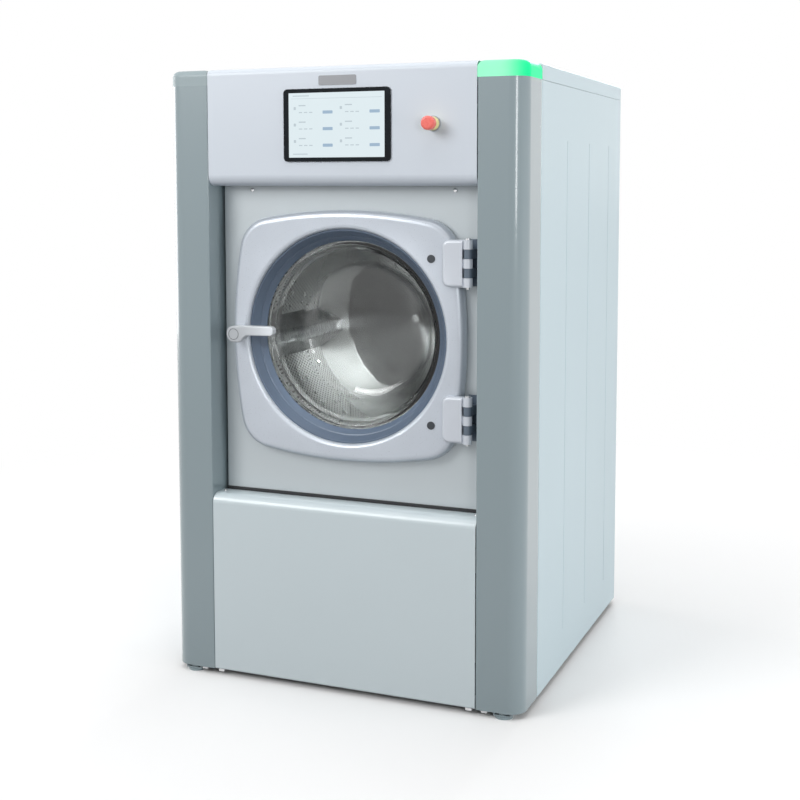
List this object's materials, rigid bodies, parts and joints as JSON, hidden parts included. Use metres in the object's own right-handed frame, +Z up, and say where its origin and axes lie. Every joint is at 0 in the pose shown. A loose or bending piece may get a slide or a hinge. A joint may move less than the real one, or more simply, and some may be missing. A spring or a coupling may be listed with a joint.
{
  "type": "commercial washing machine",
  "caption": "Freestanding front-loading commercial washer with rounded grey pillars, recessed round-window door, touch display, emergency stop and a spring-mounted belt-driven drum.",
  "frame": {"origin": "middle of the machine's footprint on the floor, in line with the drum axis", "axes": "+Z up, -Y out of the front, +X to the right of someone facing the front"},
  "size_m": [0.86, 0.95, 1.41],
  "materials": {
    "pillar_grey": "powder coat, satin",
    "panel_grey": "powder coat, satin",
    "recess_grey": "powder coat, satin",
    "lower_grey": "powder coat, satin",
    "cap_grey": "moulded, satin",
    "status_green": "translucent, lit from inside",
    "frame_steel": "dark primer",
    "zinc_steel": "zinc plated",
    "stainless": "bright rolled stainless",
    "spring_steel": "black coated wire",
    "cast_grey": "cast, painted",
    "cast_aluminium": "cast, fine blasted",
    "motor_grey": "cast, painted",
    "door_silver": "moulded, silver lacquer",
    "ring_slate": "moulded, satin",
    "handle_silver": "cast, satin lacquer",
    "door_glass": "clear pressed glass",
    "plug_grey": "moulded",
    "display_black": "polished glass over black",
    "screen_light": "lit screen",
    "stop_red": "moulded, glossy",
    "stop_yellow": "moulded",
    "stop_grey": "moulded",
    "rubber_black": "moulded rubber",
    "electric_grey": "powder coat",
    "valve_white": "moulded",
    "drain_grey": "moulded pipe"
  },
  "bodies": {
    "cabinet": {"base_rail_left": "pillar_grey", "base_rail_right": "pillar_grey", "base_crossmembers": "frame_steel", "levelling_feet": "zinc_steel", "pillar_left": "pillar_grey", "pillar_right": "pillar_grey", "pillar_cap_left": "cap_grey", "status_light_cap": "status_green", "upper_frame": "frame_steel", "top_cover": "panel_grey", "side_panel_left": "panel_grey", "side_panel_right": "panel_grey", "rear_panel": "panel_grey", "rear_service_cover": "panel_grey", "control_panel": "panel_grey", "lower_panel": "lower_grey", "display_bezel": "display_black", "display_screen": "screen_light", "estop_base": "stop_grey", "estop_collar": "stop_yellow", "control_box": "electric_grey", "water_inlet_valves": "valve_white", "fill_hose": "rubber_black", "drain_outlet": "drain_grey", "drain_hose": "rubber_black", "damper_tubes": "spring_steel", "suspension_springs": "spring_steel"},
    "tub": {"damper_rods": "zinc_steel", "tub_shell": "stainless", "tub_front": "stainless", "mouth_collar": "stainless", "tub_back": "stainless", "shaft_seal": "rubber_black", "tub_cradle": "frame_steel", "door_panel": "recess_grey", "door_gasket": "rubber_black", "bearing_housing": "cast_grey", "shaft_bearings": "zinc_steel", "motor": "motor_grey", "drive_belt": "rubber_black", "heater_elements": "zinc_steel", "drain_valve_body": "drain_grey", "hinge_brackets": "cast_aluminium", "hinge_pins": "zinc_steel"},
    "drum": {"drum_shell": "stainless", "drum_back": "stainless", "drum_lifters": "stainless", "drum_spider": "cast_aluminium", "drum_shaft": "zinc_steel", "drum_pulley": "cast_aluminium"},
    "motor_rotor": {"motor_pulley": "zinc_steel"},
    "drain_flap": {"drain_flap": "drain_grey"},
    "door": {"door_frame": "door_silver", "door_ring": "ring_slate", "door_glass": "door_glass", "hinge_leaves": "cast_aluminium", "door_plugs": "plug_grey"},
    "handle": {"door_handle": "handle_silver"},
    "estop_plunger": {"estop_stem": "zinc_steel"},
    "estop_head": {"estop_head": "stop_red"}
  },
  "joints": [
    {"name": "tub_bounce", "type": "slide", "parent": "cabinet", "child": "tub", "axis": [0, 0, 1], "range_m": [-0.008, 0.008], "stiffness_N_per_m": 80000, "springref_m": 0.0232, "deforming": ["suspension_springs", "fill_hose", "drain_hose"]},
    {"name": "drum_spin", "type": "hinge", "parent": "tub", "child": "drum", "pos_m": [0, 0, 0.811], "axis": [0, 1, 0], "continuous": true},
    {"name": "motor_spin", "type": "hinge", "parent": "tub", "child": "motor_rotor", "pos_m": [0.17, 0, 0.36], "axis": [0, 1, 0], "continuous": true},
    {"name": "drain_flap_turn", "type": "hinge", "parent": "tub", "child": "drain_flap", "pos_m": [0, 0.125, 0.372], "axis": [1, 0, 0], "range_deg": [0, 90]},
    {"name": "door_swing", "type": "hinge", "parent": "tub", "child": "door", "pos_m": [0.297, -0.413, 0.811], "axis": [0, 0, 1], "range_deg": [0, 120]},
    {"name": "handle_turn", "type": "hinge", "parent": "door", "child": "handle", "pos_m": [-0.26, -0.405, 0.811], "axis": [0, 1, 0], "range_deg": [0, 50]},
    {"name": "estop_push", "type": "slide", "parent": "cabinet", "child": "estop_plunger", "axis": [0, 1, 0], "range_m": [0, 0.0035], "stiffness_N_per_m": 1500},
    {"name": "estop_twist", "type": "hinge", "parent": "estop_plunger", "child": "estop_head", "pos_m": [0.226, -0.475, 1.28], "axis": [0, 1, 0], "range_deg": [0, 35], "stiffness_Nm_per_rad": 0.1}
  ],
  "couplings": [
    {"joint": "motor_spin", "follows": "drum_spin", "ratio": 4.75}
  ]
}
